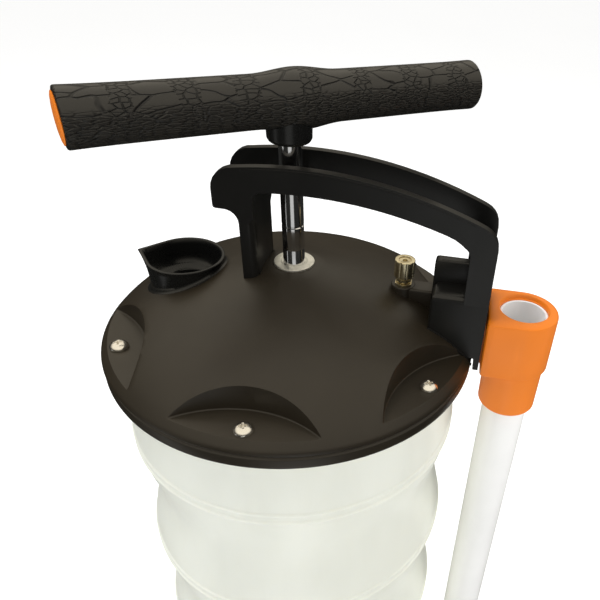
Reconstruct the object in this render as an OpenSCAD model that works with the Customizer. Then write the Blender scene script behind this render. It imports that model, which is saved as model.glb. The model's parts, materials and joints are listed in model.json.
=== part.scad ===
// Hand-operated vacuum fluid extractor: banded tank, domed lid, carrying handle and plunger pump.
// The origin is the centre of the tank's base. +X runs along the carrying handle to the tube holder.

/* [Tank] */
// Height of the lid datum, the level that heights on the lid and pump are measured from
tank_h = 320; // [315:1:330]
// Radius at the crest of each band
ring_r = 96.5; // [95:0.5:97.5]
// Radius at the waist between two bands
waist_r = 89.5; // [88.5:0.5:92]
// Height from one band to the next
band_pitch = 87; // [80:1:90]
// Distance of the top band's crest below the lid
first_band = 41; // [37:1:46]
// Thickness of the blow-moulded wall
tank_wall = 2.5; // [2:0.25:3]

/* [Lid] */
// Radius of the skirt's lower edge
skirt_r = 102.8; // [102:0.25:103]
// Radius of the rim, the widest part of the lid
rim_r = 103.5; // [103:0.1:104]
// Height of the rim over the lid datum
rim_h = 14.4; // [14:0.2:15]
// Height of the flat in the middle of the dome
dome_h = 55; // [53:0.5:57]
// Part of the dome's fall that is a straight cone
dome_cone = 0.65; // [0.5:0.05:0.8]
// Exponent of the rounded shoulder
dome_power = 5.8; // [4:0.2:8]
// Thickness of the lid's wall
lid_wall = 3; // [2.5:0.25:3.5]
// Number of screws round the lid
screw_count = 6; // [6]
// Distance of each lid screw from the middle
screw_pcd_r = 93.8; // [93:0.1:94.5]
// Height of the pocket floors over the lid datum
pocket_h = 18.8; // [18:0.2:20]
// Nearest that a pocket's floor comes to the middle
pocket_r = 80; // [79:0.5:82]

/* [Carrying handle] */
// Half of the width over the two rails
handle_half_w = 16; // [15.5:0.5:17]
// Thickness of each rail
rail_t = 4.3; // [3.5:0.1:4.4]
// Height of each rail
rail_h = 13; // [12:0.5:14]
// Height of the handle's top over the lid datum
handle_top = 114.2; // [112:1:116]
// Outer face of the leg
leg_x = 107; // [106:0.5:108]
// Left end of the rails' hook
hook_x = -35.5; // [-37:0.5:-34]

/* [Spout] */
// Distance of the spout's centre from the middle
spout_x = -61; // [-62:0.5:-60]
// Outer radius of the spout's bowl
spout_r = 20.2; // [20:0.1:20.5]
// Distance of the lip's tip from the middle
spout_tip_x = -87.5; // [-88:0.5:-86]
// Height of the spout's rim over the lid datum
spout_h = 51; // [49:0.5:52]
// Radius of the spout's throat
throat_r = 12; // [11:0.5:12]

/* [Pump] */
// Radius of the pump rod
rod_r = 5.75; // [5.5:0.25:6]
// Bore radius of the pump cylinder
cylinder_r = 14.8; // [14.5:0.1:15]
// Depth of the foot valve's seat under the lid datum
seat_depth = 256; // [250:1:258]

/* [Tee handle] */
// Height of the grip's axis over the lid datum
grip_axis = 141; // [140:0.5:143]
// Length over the end caps
grip_l = 202; // [196:1:206]
// Distance of the grip's middle from the rod's axis
grip_shift = 4.4; // [0:0.2:5]
// Radius of the grip
grip_r = 12; // [11.5:0.25:12.5]
// Turn of the tee handle from the carrying handle
grip_turn = 38; // [0:1:90]
// Height of the collar's lower face over the lid datum
collar_z = 122; // [121:0.5:124]

/* [Tube holder] */
// Distance of the storage tube from the middle
tube_x = 128; // [127:0.5:129]
// Outer radius of the storage tube
tube_r = 13.5; // [13:0.25:14]
// Height of the holder's top over the lid datum
holder_top = 43.5; // [42:0.5:45]
// Clearance of the storage tube's foot over the ground
tube_foot = 30; // [20:1:60]

/* [Release valve] */
// Place of the release valve along the handle
valve_x = 59.5; // [58:0.5:61]
// Place of the release valve across the handle
valve_y = 8; // [0:0.5:9]
// Radius of the fluted knob
knob_r = 5.7; // [5.5:0.1:6]

/* [Hidden] */
$fn = 96;
lid_z = tank_h;
bushing_black = [0.09, 0.08, 0.07];
brass = [0.72, 0.60, 0.36];
steel = [0.78, 0.78, 0.76];
slim = 0.05;

// Tank
bead_gap = 3.1;
bead_h = 0.8;
bead_w = 1.6;
corner_r = 12;
flange_r = 97.8;
flange_low = -3.4;
flange_top = 8.4;
skirt_low = 4.2;
neck_r = 86;
insert_low = 3.9;
push_up = 2;
tank_step = 4;
first_crest = tank_h - first_band;

// Lid
gasket_h = 1.5;
seat_top = 13;
dome_flat_r = 13;
pocket_far = 138.5;
pocket_slope = 0.05;
boss_r = 5.5;
shank_r = 2.4;
centre_boss_r = 17.4;
centre_boss_low = 31.5;
bush_r = 9.5;
bush_low = 43;
wiper_low = 39;
spout_seat = 32;
spout_bore = spout_r + 0.2;
neck_out_r = throat_r + 2.5;
float_y = 50;
riser_y = 26;
gallery_z = 36;
float_block_low = 24;
valve_boss_r = 6.6;
valve_top = 44;

// Pump, heights from the lid datum
cylinder_wall = 1.7;
cylinder_top = 30.5;
head_r = 19.8;
piston_top = -214;
cup_floor = -231;
washer_low = -232.5;
nut_low = -237;
spigot_r = 4;
guard_low = 3.5 - seat_depth;
disc_t = 1.6;
foot_low = -seat_depth - 20;
riser_r = 4;
riser_top = 34;

function dome_u(r) = max(0, (r - dome_flat_r) / (rim_r - dome_flat_r));
function dome_z(r) =
    dome_h - (dome_h - rim_h) * (dome_cone * dome_u(r) + (1 - dome_cone) * pow(dome_u(r), dome_power));
function dome_line(drop, r_end) = [for (i = [0:24]) let (r = r_end * sqrt(i / 24)) [r, dome_z(r) - drop]];
function bead(d) = abs(d) < bead_w ? bead_h * (1 + cos(180 * d / bead_w)) / 2 : 0;
function swell(z) = (1 + cos(360 * (z - first_crest) / band_pitch)) / 2;
function band_r(z) = ring_r - (ring_r - waist_r) * (z > first_crest ? 0.5 : 1) * (1 - swell(z));
function corner(z) = z < corner_r ? corner_r - sqrt(corner_r * corner_r - pow(corner_r - z, 2)) : 0;
function tank_line(inset, z_low) = [
    for (k = [0:floor((tank_h - 2.5 - z_low) / tank_step)])
        let (z = z_low + k * tank_step) [band_r(z) - corner(z) - inset, z]
];

module at_lid() {
    translate([0, 0, lid_z]) children();
}

module tube_between(r_out, r_in, z_low, z_high) {
    difference() {
        translate([0, 0, z_low]) cylinder(h = z_high - z_low, r = r_out);
        translate([0, 0, z_low - 1]) cylinder(h = z_high - z_low + 2, r = r_in);
    }
}

module round_all(count, radius, first = 0) {
    for (i = [0:count - 1]) rotate([0, 0, first + i * 360 / count]) translate([radius, 0, 0]) children();
}

module hex_nut(across, bore, z_low, z_high) {
    difference() {
        translate([0, 0, z_low]) cylinder(h = z_high - z_low, r = across / sqrt(3), $fn = 6);
        translate([0, 0, z_low - 1]) cylinder(h = z_high - z_low + 2, r = bore);
    }
}

module pan_screw(head_r, head_h, shank, length) {
    recess = head_r * 0.28;
    difference() {
        rotate_extrude() polygon(concat(
            [[0, -length], [shank * 0.6, -length], [shank, -length + shank]],
            [[shank, 0], [head_r, 0], [head_r, head_h * 0.4]],
            [for (a = [15:15:75]) [head_r * cos(a), head_h * (0.4 + 0.6 * sin(a))]],
            [[0, head_h]]
        ));
        for (turn = [0, 90]) rotate([0, 0, turn])
            translate([-head_r * 0.62, -recess / 2, head_h * 0.45]) cube([head_r * 1.24, recess, head_h]);
    }
}

module crest_bead(z) {
    r = band_r(z);
    rotate_extrude() polygon([
        for (i = [-4:4]) let (d = i * bead_w / 4) [r + bead(d), z + d],
        [r - 1, z + bead_w],
        [r - 1, z - bead_w]
    ]);
}

module tank() color([0.93, 0.92, 0.88]) {
    outer = concat([[0, 0]], tank_line(0, 0), [[92.8, tank_h - flange_low]]);
    inner = concat([[0, tank_wall]], tank_line(tank_wall, tank_wall), [[neck_r, tank_h]]);
    difference() {
        union() {
            rotate_extrude() polygon(concat(
                outer, [[flange_r, tank_h - flange_low], [flange_r, tank_h + flange_top], [0, tank_h + flange_top]]
            ));
            for (crest = [first_crest:-band_pitch:60], side = [-1, 1]) crest_bead(crest + side * bead_gap);
        }
        rotate_extrude() polygon(concat(inner, [[neck_r, tank_h + 20], [0, tank_h + 20]]));
        translate([0, 0, -1]) tube_between(66, 30, 0, push_up + 1);
        translate([0, 0, tank_h + insert_low]) round_all(screw_count, screw_pcd_r, 30) cylinder(h = 20, r = 3.2);
    }
}

module flange_inserts() color(brass) {
    at_lid() round_all(screw_count, screw_pcd_r, 30) difference() {
        translate([0, 0, insert_low]) cylinder(h = flange_top - insert_low, r = 3.2);
        translate([0, 0, 0]) cylinder(h = flange_top + 4, r = shank_r);
    }
}

module lid_gasket() color([0.15, 0.15, 0.15]) {
    at_lid() difference() {
        tube_between(flange_r, neck_r, flange_top, flange_top + gasket_h);
        round_all(screw_count, screw_pcd_r, 30) cylinder(h = 20, r = shank_r + 0.2);
    }
}

module dome_block(drop = 0) {
    rotate_extrude() polygon(concat(
        [[0, skirt_low]],
        dome_line(drop, rim_r),
        [
            [rim_r + 0.1, rim_h - drop - 1],
            [rim_r - 0.6, rim_h - drop - 2],
            [skirt_r - 0.8, rim_h - drop - 2.6],
            [skirt_r - 0.8, rim_h - drop - 3.4],
            [skirt_r + 0.3, rim_h - drop - 4.4],
            [skirt_r + 0.5, skirt_low + 1.2],
            [skirt_r, skirt_low]
        ]
    ));
}

module lid_cavity() {
    low = flange_top + gasket_h;
    rotate_extrude() polygon(concat(
        [[0, -1], [flange_r + 0.3, -1], [flange_r + 0.3, low], [neck_r - 2, low], [neck_r - 2, seat_top]],
        [[96, seat_top]],
        [for (i = [0:12]) let (r = 96 * sqrt(1 - i / 12)) [r, dome_z(r) - lid_wall * 1.12]]
    ));
}

module pocket(grow = 0) {
    radius = pocket_far - pocket_r + grow;
    translate([pocket_far, 0, pocket_h - grow]) cylinder(h = 50, r1 = radius, r2 = radius + 50 * pocket_slope, $fn = 360);
}

module all_pockets(grow = 0) {
    for (i = [0:screw_count - 1]) rotate([0, 0, 30 + i * 360 / screw_count]) pocket(grow);
}

module lid_bosses() {
    translate([0, 0, flange_top + gasket_h]) round_all(screw_count, screw_pcd_r, 30) cylinder(h = 16, r = boss_r);
    translate([0, 0, centre_boss_low]) cylinder(h = 30, r = centre_boss_r);
    translate([spout_x, 0, spout_seat - 5]) cylinder(h = 30, r = spout_bore + 2.5);
    translate([-8, head_r + 0.5, float_block_low]) cube([16, float_y + 8 - head_r, 40]);
    translate([valve_x, valve_y, valve_top - 14]) cylinder(h = 20, r = valve_boss_r + 1.5);
    for (p = handle_screw_places) translate([p[0], p[1], p[2]]) cylinder(h = 30, r = 4.5);
}

// Handle screws: x, y and height of the face that the head bears on
handle_screw_places = [[-19, 13.2, 46], [-19, -13.2, 46], [85, 7, 23], [85, -7, 23]];

module lid() color(bushing_black) {
    at_lid() difference() {
        union() {
            difference() {
                dome_block();
                lid_cavity();
            }
            intersection() {
                dome_block(0.5);
                union() {
                    lid_bosses();
                    difference() {
                        all_pockets(lid_wall);
                        translate([0, 0, -1]) cylinder(h = 80, r = 80);
                    }
                }
            }
            translate([valve_x, valve_y, 30]) cylinder(h = valve_top - 30, r = valve_boss_r);
        }
        all_pockets();
        round_all(screw_count, screw_pcd_r, 30) cylinder(h = 60, r = shank_r + 0.2);
        translate([0, 0, bush_low]) cylinder(h = 30, r = bush_r);
        translate([0, 0, wiper_low]) cylinder(h = 30, r = bush_r - 0.8);
        translate([0, 0, centre_boss_low - 1]) cylinder(h = 30, r = rod_r + 0.8);
        translate([spout_x, 0, spout_seat]) cylinder(h = 40, r = spout_bore);
        translate([spout_x, 0, 10]) cylinder(h = 40, r = neck_out_r + 0.1);
        translate([0, riser_y, 10]) cylinder(h = riser_top - 10, r = riser_r + slim);
        translate([0, riser_y, 20]) cylinder(h = gallery_z - 20, r = 2.5);
        translate([0, riser_y, gallery_z]) rotate([-90, 0, 0]) cylinder(h = float_y - riser_y, r = 2.5);
        translate([0, float_y, 20]) cylinder(h = gallery_z - 20, r = 2.5);
        translate([valve_x, valve_y, 20]) cylinder(h = 40, r = 3.5);
        for (p = handle_screw_places) translate([p[0], p[1], p[2] - 10]) cylinder(h = 60, r = 2.2);
    }
}

module lid_screws() color(steel) {
    at_lid() translate([0, 0, pocket_h]) round_all(screw_count, screw_pcd_r, 30) rotate([0, 0, 20])
        pan_screw(4.8, 3.4, shank_r, pocket_h - insert_low - 0.3);
}

// Spout outline: a round bowl with a pointed lip towards -X
module spout_outline(shrink) {
    r = spout_r - shrink;
    reach = spout_x - spout_tip_x - shrink * 1.2;
    meet = acos(r / reach);
    translate([spout_x, 0]) {
        circle(r = r);
        polygon([[-reach, -0.6], [-reach, 0.6], [-r * cos(meet), r * sin(meet)], [-r * cos(meet), -r * sin(meet)]]);
    }
}

module pour_spout() color([0.05, 0.05, 0.05]) {
    wall = 2.2;
    bowl_floor = 35;
    lip_run = 12;
    at_lid() difference() {
        union() {
            translate([0, 0, spout_seat + 1.5]) linear_extrude(spout_h - spout_seat - 1.5) spout_outline(0);
            translate([0, 0, spout_h - 2.2]) linear_extrude(2.2) spout_outline(-0.7);
            translate([spout_x, 0, 14]) cylinder(h = 25, r = neck_out_r);
        }
        translate([0, 0, bowl_floor]) linear_extrude(40) spout_outline(wall);
        translate([spout_x, 0, 10]) cylinder(h = 40, r = throat_r);
        // The underside of the lip slopes down to the dome
        translate([spout_tip_x, -20, spout_h - 3.5]) rotate([0, 48, 0]) translate([-10, 0, -30]) cube([10, 40, 30]);
        translate([spout_tip_x - 10, -20, spout_seat]) cube([10 + spout_x - spout_r - spout_tip_x, 40, 3.5]);
    }
}

module spout_seal_ring() color([0.12, 0.12, 0.12]) {
    at_lid() translate([spout_x, 0, 0]) tube_between(spout_r - 1, neck_out_r + 0.2, spout_seat, spout_seat + 1.5);
}

// Height of the handle's top edge at a place along it
function arch(x) = handle_top - 0.00235 * pow(x - 11, 2);
function arc_points(cx, cz, r, from, to) =
    [for (i = [0:6]) let (a = from + (to - from) * i / 6) [cx + r * cos(a), cz + r * sin(a)]];

block_l = 30.8;

module rail_outline() {
    hook_low = handle_top - 24.8;
    nose = 12;
    post_x = -23;
    end_r = 12;
    inner_x = leg_x - 13.4;
    inner_r = 6.5;
    block_x = leg_x - block_l;
    polygon(concat(
        arc_points(hook_x + nose, arch(hook_x + nose) - nose, nose, 180, 90),
        [for (x = [-15:10:85]) [x, arch(x)]],
        arc_points(leg_x - end_r, arch(leg_x - end_r) - end_r - 1, end_r, 70, 0),
        [[leg_x, 9], [block_x, 9], [block_x, 40]],
        [[block_x, 52]],
        arc_points(block_x + 4, 52, 4, 180, 90),
        [[inner_x, 56]],
        arc_points(inner_x - inner_r, arch(inner_x) - rail_h - inner_r, inner_r, 0, 62),
        [for (x = [75:-10:-5]) [x, arch(x) - rail_h]],
        [[-15.5, arch(-15.5) - rail_h], [-15.5, 40], [post_x, 40]],
        arc_points(post_x - 7, hook_low - 7, 7, 0, 90),
        [[hook_x + 1, hook_low]]
    ));
}

module upright(depth) {
    translate([0, depth, 0]) rotate([90, 0, 0]) linear_extrude(2 * depth) children();
}

module carry_handle() color([0.06, 0.055, 0.05]) {
    inside = handle_half_w - rail_t;
    block_x = leg_x - block_l;
    at_lid() difference() {
        union() {
            difference() {
                upright(handle_half_w) rail_outline();
                translate([-60, -inside, 56.5]) cube([leg_x + 55, 2 * inside, 80]);
                translate([-60, -inside, 30]) cube([60 + block_x - 0.5, 2 * inside, 60]);
            }
            // The web at the hook end
            translate([-23, -handle_half_w, 40]) cube([7.5, 2 * handle_half_w, handle_top - rail_h - 42]);
            // The end wall of the leg and the tongue that stands up in front of it
            translate([leg_x - 5, -handle_half_w, 20]) cube([5, 2 * handle_half_w, 60]);
            translate([block_x, -3, 40]) cube([26.5, 6, 29]);
            // Beads along the rails' top edges
            for (side = [-1, 1]) translate([0, side * (handle_half_w + 0.25), 0]) upright(0.5)
                polygon(concat(
                    [for (x = [-15:10:95]) [x, arch(x) - 0.4]],
                    [for (x = [95:-10:-15]) [x, arch(x) - 1.8]]
                ));
        }
        difference() {
            translate([block_x + 3, -inside, 0]) cube([block_l - 8, 2 * inside, 52]);
            for (p = handle_screw_places) translate([p[0], p[1], 0]) cylinder(h = 60, r = 4.5);
        }
        translate([0, 0, slim]) dome_block();
        translate([0, 0, -20]) cylinder(h = 20 + rim_h, r = rim_r + 0.2);
        translate([0, 0, -20]) cylinder(h = 29, r = 120);
        for (p = handle_screw_places) translate([p[0], p[1], p[2]]) cylinder(h = 16, r = 2);
        for (y = [-7.5, 7.5]) translate([leg_x - 10, y, 24]) rotate([0, 90, 0]) cylinder(h = 20, r = 2);
    }
}

module handle_screws() color(steel) {
    at_lid() for (p = handle_screw_places) translate([p[0], p[1], p[2]]) rotate([180, 0, 0])
        pan_screw(3.6, 2.4, 1.95, 14);
}

module tube_holder() color([0.93, 0.42, 0.09]) {
    step = 8;
    low = -21.5;
    half = 19.5;
    at_lid() difference() {
        union() {
            translate([0, 0, step]) linear_extrude(holder_top - step) {
                translate([tube_x - 0.5, 0]) circle(r = half);
                translate([leg_x + 1, -half]) square([tube_x - leg_x - 1.5, 2 * half]);
            }
            translate([tube_x, 0, low]) cylinder(h = step - low + 1, r = 17);
            translate([leg_x, -12, 12]) cube([3, 24, 24]);
        }
        translate([tube_x, 0, low - 1]) cylinder(h = 100, r = tube_r + slim);
        translate([tube_x, 0, holder_top - 2]) cylinder(h = 2.1, r1 = tube_r, r2 = tube_r + 2);
        translate([tube_x, 0, low - 0.1]) cylinder(h = 1.5, r1 = tube_r + 1.5, r2 = tube_r);
        for (y = [-7.5, 7.5]) translate([leg_x - 1, y, 24]) rotate([0, 90, 0]) cylinder(h = 9.6, r = 2);
    }
}

module holder_screws() color(steel) {
    at_lid() for (y = [-7.5, 7.5]) translate([leg_x - 5, y, 24]) rotate([0, -90, 0]) pan_screw(3.6, 2.4, 1.95, 13);
}

module storage_tube() color([0.96, 0.96, 0.95]) {
    wall = 1.5;
    low = tube_foot;
    high = lid_z + holder_top - 2.5;
    translate([tube_x, 0, 0]) rotate_extrude() polygon([
        [0, low], [tube_r - 3, low], [tube_r - 0.9, low + 0.9], [tube_r, low + 3],
        [tube_r, high], [tube_r - wall, high], [tube_r - wall, low + 3], [0, low + 3]
    ]);
}

module rod_guide_bush() color([0.72, 0.72, 0.70]) {
    flange = 10.9;
    at_lid() difference() {
        union() {
            translate([0, 0, bush_low + 0.5]) cylinder(h = dome_h - bush_low, r = bush_r - slim);
            translate([0, 0, dome_h]) cylinder(h = 1.2, r = flange);
        }
        translate([0, 0, bush_low - 1]) cylinder(h = 30, r = rod_r + 0.06);
    }
}

module rod_wiper() color([0.1, 0.1, 0.1]) {
    at_lid() tube_between(bush_r - 0.85, rod_r + 0.1, wiper_low, bush_low - 0.2);
}

module cylinder_head() color([0.12, 0.12, 0.12]) {
    at_lid() difference() {
        tube_between(head_r, cylinder_r + cylinder_wall + 0.1, 24, 38);
        translate([0, 0, 28.5]) cylinder(h = 20, r = centre_boss_r + slim);
    }
}

module cylinder_seal_ring() color([0.1, 0.1, 0.1]) {
    at_lid() tube_between(centre_boss_r - 0.1, cylinder_r, cylinder_top, centre_boss_low);
}

module pump_cylinder() color([0.85, 0.85, 0.83]) {
    at_lid() {
        tube_between(cylinder_r + cylinder_wall, cylinder_r, -seat_depth - 12, 28.6);
        tube_between(centre_boss_r, cylinder_r, 28.5, cylinder_top);
    }
}

module foot_valve_body() color([0.2, 0.2, 0.2]) {
    port = 3;
    port_z = foot_low + 4;
    at_lid() difference() {
        union() {
            translate([0, 0, foot_low]) cylinder(h = 8, r = 18);
            translate([0, 0, foot_low]) cylinder(h = -seat_depth - foot_low, r = cylinder_r - slim);
            translate([0, riser_y, foot_low]) cylinder(h = 8, r = 7);
            translate([-6, 0, foot_low]) cube([12, riser_y, 8]);
        }
        translate([0, 0, port_z]) cylinder(h = 40, r = port);
        translate([0, 0, port_z]) rotate([-90, 0, 0]) cylinder(h = riser_y, r = port - 0.5);
        translate([0, riser_y, port_z]) cylinder(h = 30, r = riser_r + slim);
    }
}

module foot_valve_disc() color([0.1, 0.1, 0.1]) {
    at_lid() translate([0, 0, -seat_depth]) cylinder(h = disc_t, r = 7);
}

module foot_valve_guard() color([0.8, 0.8, 0.78]) {
    at_lid() difference() {
        union() {
            translate([0, 0, guard_low]) cylinder(h = 2, r = cylinder_r - slim);
            tube_between(cylinder_r - slim, cylinder_r - 2.5, -seat_depth, guard_low + 1);
        }
        translate([0, 0, guard_low - 1]) round_all(6, 8.5) cylinder(h = 5, r = 2.6);
    }
}

module intake_riser() color([0.85, 0.85, 0.83]) {
    at_lid() translate([0, riser_y, 0]) tube_between(riser_r, 2.8, foot_low + 4.5, riser_top - 0.5);
}

module float_cage() color([0.9, 0.9, 0.88]) {
    low = -22;
    at_lid() translate([0, float_y, 0]) difference() {
        translate([0, 0, low]) cylinder(h = float_block_low - low, r = 14);
        translate([0, 0, low + 2]) cylinder(h = 38, r = 12.4);
        translate([0, 0, low - 1]) cylinder(h = 80, r = 4);
        translate([0, 0, 18]) cylinder(h = 2, r = 13);
        for (turn = [0, 60, 120]) rotate([0, 0, turn]) translate([-20, -4, low + 5]) cube([40, 8, 28]);
    }
}

module float_seat() color([0.1, 0.1, 0.1]) {
    at_lid() translate([0, float_y, 0]) tube_between(12.9, 5, 18, 20);
}

module float_ball() color([0.95, 0.95, 0.93]) {
    at_lid() translate([0, float_y, -10.7]) sphere(r = 9);
}

module pump_rod() color([0.85, 0.85, 0.86]) {
    line = 0.35;
    tip = 131;
    at_lid() rotate_extrude() polygon(concat(
        [[0, nut_low - 2], [spigot_r - 0.6, nut_low - 2], [spigot_r, nut_low - 1.4]],
        [[spigot_r, piston_top + slim], [rod_r, piston_top + slim]],
        [for (z = [64, 75], p = [[0, -0.6], [-line, -0.3], [-line, 0.3], [0, 0.6]]) [rod_r + p[0], z + p[1]]],
        [[rod_r, tip], [spigot_r, tip], [spigot_r, tip + 16], [0, tip + 16]]
    ));
}

module piston() color([0.25, 0.25, 0.26]) {
    at_lid() rotate_extrude() polygon([
        [spigot_r + slim, cup_floor + 2.5], [12.6, cup_floor + 2.5], [12.6, piston_top - 6],
        [cylinder_r - 0.4, piston_top - 6], [cylinder_r - 0.4, piston_top], [spigot_r + slim, piston_top]
    ]);
}

module piston_cup() color([0.1, 0.1, 0.1]) {
    lip = cylinder_r - 0.1;
    at_lid() rotate_extrude() polygon([
        [spigot_r + slim, cup_floor], [lip - 0.8, cup_floor], [lip - 0.4, cup_floor + 1.5],
        [lip, cup_floor + 9], [lip - 0.9, cup_floor + 9], [12.7, cup_floor + 2.5], [spigot_r + slim, cup_floor + 2.5]
    ]);
}

module piston_washer() color(steel) {
    at_lid() tube_between(11, spigot_r + slim, washer_low, cup_floor);
}

module piston_nut() color(steel) {
    at_lid() hex_nut(13, spigot_r, nut_low, washer_low - 0.05);
}

module on_grip_axis() {
    at_lid() translate([0, 0, grip_axis]) rotate([0, 0, grip_turn]) translate([grip_shift, 0, 0]) rotate([0, 90, 0]) children();
}

core_r = 9;
cap_rise = 1.4;
grip_half = grip_l / 2 - cap_rise;

module tee_core() color([0.05, 0.05, 0.05]) {
    difference() {
        union() {
            on_grip_axis() translate([0, 0, -grip_half + 4]) cylinder(h = 2 * grip_half - 8, r = core_r);
            at_lid() rotate_extrude() polygon([
                [0, collar_z], [9.6, collar_z], [10.7, collar_z + 0.8], [11.1, collar_z + 2],
                [11.9, grip_axis - 10.5], [11.9, grip_axis], [0, grip_axis]
            ]);
        }
        at_lid() translate([0, 0, collar_z - 1]) cylinder(h = 132 - collar_z, r = rod_r + slim);
        at_lid() translate([0, 0, 130]) cylinder(h = 20, r = spigot_r + slim);
        at_lid() translate([0, 0, grip_axis]) cylinder(h = 20, r = 7.6);
    }
}

module rod_lock_nut() color(steel) {
    at_lid() hex_nut(13, spigot_r, grip_axis + 0.02, grip_axis + 5);
}

// Radius of the grip at a distance from its middle
function grip_at(s) =
    grip_r + (abs(s) < 20 ? 2.1 * (1 + cos(9 * s)) / 2 : 0) + 0.5 * pow(abs(s) / grip_half, 8);

module handle_grip() color([0.04, 0.04, 0.045]) {
    difference() {
        on_grip_axis() rotate_extrude() polygon(concat(
            [[core_r + slim, -grip_half], [grip_at(grip_half) - 1, -grip_half]],
            [for (s = [-grip_half + 1:7.5:grip_half - 1]) [grip_at(s), s]],
            [[grip_at(grip_half), grip_half - 1], [grip_at(grip_half) - 1, grip_half], [core_r + slim, grip_half]]
        ));
        at_lid() translate([0, 0, collar_z]) cylinder(h = grip_axis - collar_z, r = 11.95);
    }
}

module end_cap(side) {
    color([0.93, 0.42, 0.09]) on_grip_axis() rotate([side > 0 ? 0 : 180, 0, 0]) rotate_extrude() polygon(concat(
        [[0, grip_half - 3.9], [core_r - 0.05, grip_half - 3.9], [core_r - 0.05, grip_half + 0.02]],
        [[core_r + 1.6, grip_half + 0.02]],
        [for (a = [10:16:90]) [(core_r + 1.6) * cos(a), grip_half + cap_rise * sin(a)]]
    ));
}

module grip_end_cap_left() end_cap(-1);

module grip_end_cap_right() end_cap(1);

module at_valve() {
    translate([valve_x, valve_y, lid_z]) children();
}

module release_valve_body() color(brass) {
    at_valve() difference() {
        translate([0, 0, 27]) cylinder(h = 23, r = 3.45);
        translate([0, 0, 26]) cylinder(h = 30, r = 1.6);
        translate([0, 0, 48]) cylinder(h = 3, r1 = 1.6, r2 = 2.6);
    }
}

module release_valve_nut() color(brass) {
    at_valve() {
        hex_nut(9.4, 3.45, valve_top + 1, valve_top + 3);
        tube_between(5.4, 3.45, valve_top + 0.6, valve_top + 1.05);
    }
}

module release_seal_ring() color([0.1, 0.1, 0.1]) {
    at_valve() tube_between(5.2, 3.5, valve_top, valve_top + 0.55);
}

module release_needle() color(brass) {
    at_valve() rotate_extrude() polygon([
        [0, 44], [1.2, 46], [1.2, 48.6], [2.2, 50.1], [2.2, 56], [0, 56]
    ]);
}

module release_valve_knob() color(brass) {
    flutes = 10;
    low = 47.4;
    high = 61;
    at_valve() difference() {
        rotate_extrude() polygon([
            [0, low], [4.3, low], [knob_r, low + 3], [knob_r, high - 0.7], [knob_r - 0.7, high], [0, high]
        ]);
        translate([0, 0, low - 1]) cylinder(h = 51 - low + 1, r = 3.55);
        translate([0, 0, 50]) cylinder(h = 6.05, r = 2.25);
        translate([0, 0, high - 1.2]) cylinder(h = 2, r = 1.3);
        translate([0, 0, low + 2]) round_all(flutes, knob_r + 0.55) cylinder(h = high - low, r = 1.1);
    }
}

tank();
lid();
lid_gasket();
lid_screws();
flange_inserts();
pour_spout();
spout_seal_ring();
carry_handle();
handle_screws();
tube_holder();
holder_screws();
storage_tube();
rod_guide_bush();
rod_wiper();
cylinder_head();
cylinder_seal_ring();
pump_cylinder();
foot_valve_body();
foot_valve_disc();
foot_valve_guard();
intake_riser();
float_cage();
float_seat();
float_ball();
pump_rod();
piston();
piston_cup();
piston_washer();
piston_nut();
tee_core();
handle_grip();
grip_end_cap_left();
grip_end_cap_right();
rod_lock_nut();
release_valve_body();
release_valve_nut();
release_seal_ring();
release_needle();
release_valve_knob();
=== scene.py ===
"""Finished looks for a hand-operated vacuum fluid extractor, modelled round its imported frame."""

import json
import math

import bmesh
import bpy
from mathutils import Matrix, Vector


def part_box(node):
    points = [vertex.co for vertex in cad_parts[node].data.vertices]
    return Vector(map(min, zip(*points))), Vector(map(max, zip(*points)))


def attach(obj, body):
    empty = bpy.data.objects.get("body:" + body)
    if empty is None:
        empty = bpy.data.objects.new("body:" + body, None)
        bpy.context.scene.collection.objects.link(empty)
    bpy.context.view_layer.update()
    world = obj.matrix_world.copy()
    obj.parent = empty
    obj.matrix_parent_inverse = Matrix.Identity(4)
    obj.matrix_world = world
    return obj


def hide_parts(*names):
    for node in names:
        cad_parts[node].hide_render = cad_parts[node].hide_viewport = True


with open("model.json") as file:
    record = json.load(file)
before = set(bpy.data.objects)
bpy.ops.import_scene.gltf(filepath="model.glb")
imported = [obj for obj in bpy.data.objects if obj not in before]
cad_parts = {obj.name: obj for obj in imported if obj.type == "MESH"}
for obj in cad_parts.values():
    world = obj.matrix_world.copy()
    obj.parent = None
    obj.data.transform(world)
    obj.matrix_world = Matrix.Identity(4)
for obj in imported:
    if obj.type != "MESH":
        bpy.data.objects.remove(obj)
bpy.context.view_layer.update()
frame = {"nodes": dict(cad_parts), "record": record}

bl_info = {
    "name": "Vacuum fluid extractor",
    "version": (1, 0, 0),
    "blender": (4, 5, 0),
    "location": "View3D > Sidebar > Extractor",
    "description": "Models the extractor's tank, lid, handles, pump and fittings, and a studio",
    "category": "Add Mesh",
}

MM = 0.001
FLANGE_TOP = 8.4
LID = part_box("tank")[1].z / MM - FLANGE_TOP  # heights in millimetres below start from this level
RIM_R, RIM_H = 103.5, 14.4
SPOUT_X = -61.0
SCREW_COUNT, SCREW_CIRCLE, POCKET_FLOOR = 6, 93.8, 18.8
FULL_TURN = 2 * math.pi
GRIP_TURN = math.radians(38)
GRIP_AXIS = 141.0


# ---------------------------------------------------------------- settings


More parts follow.
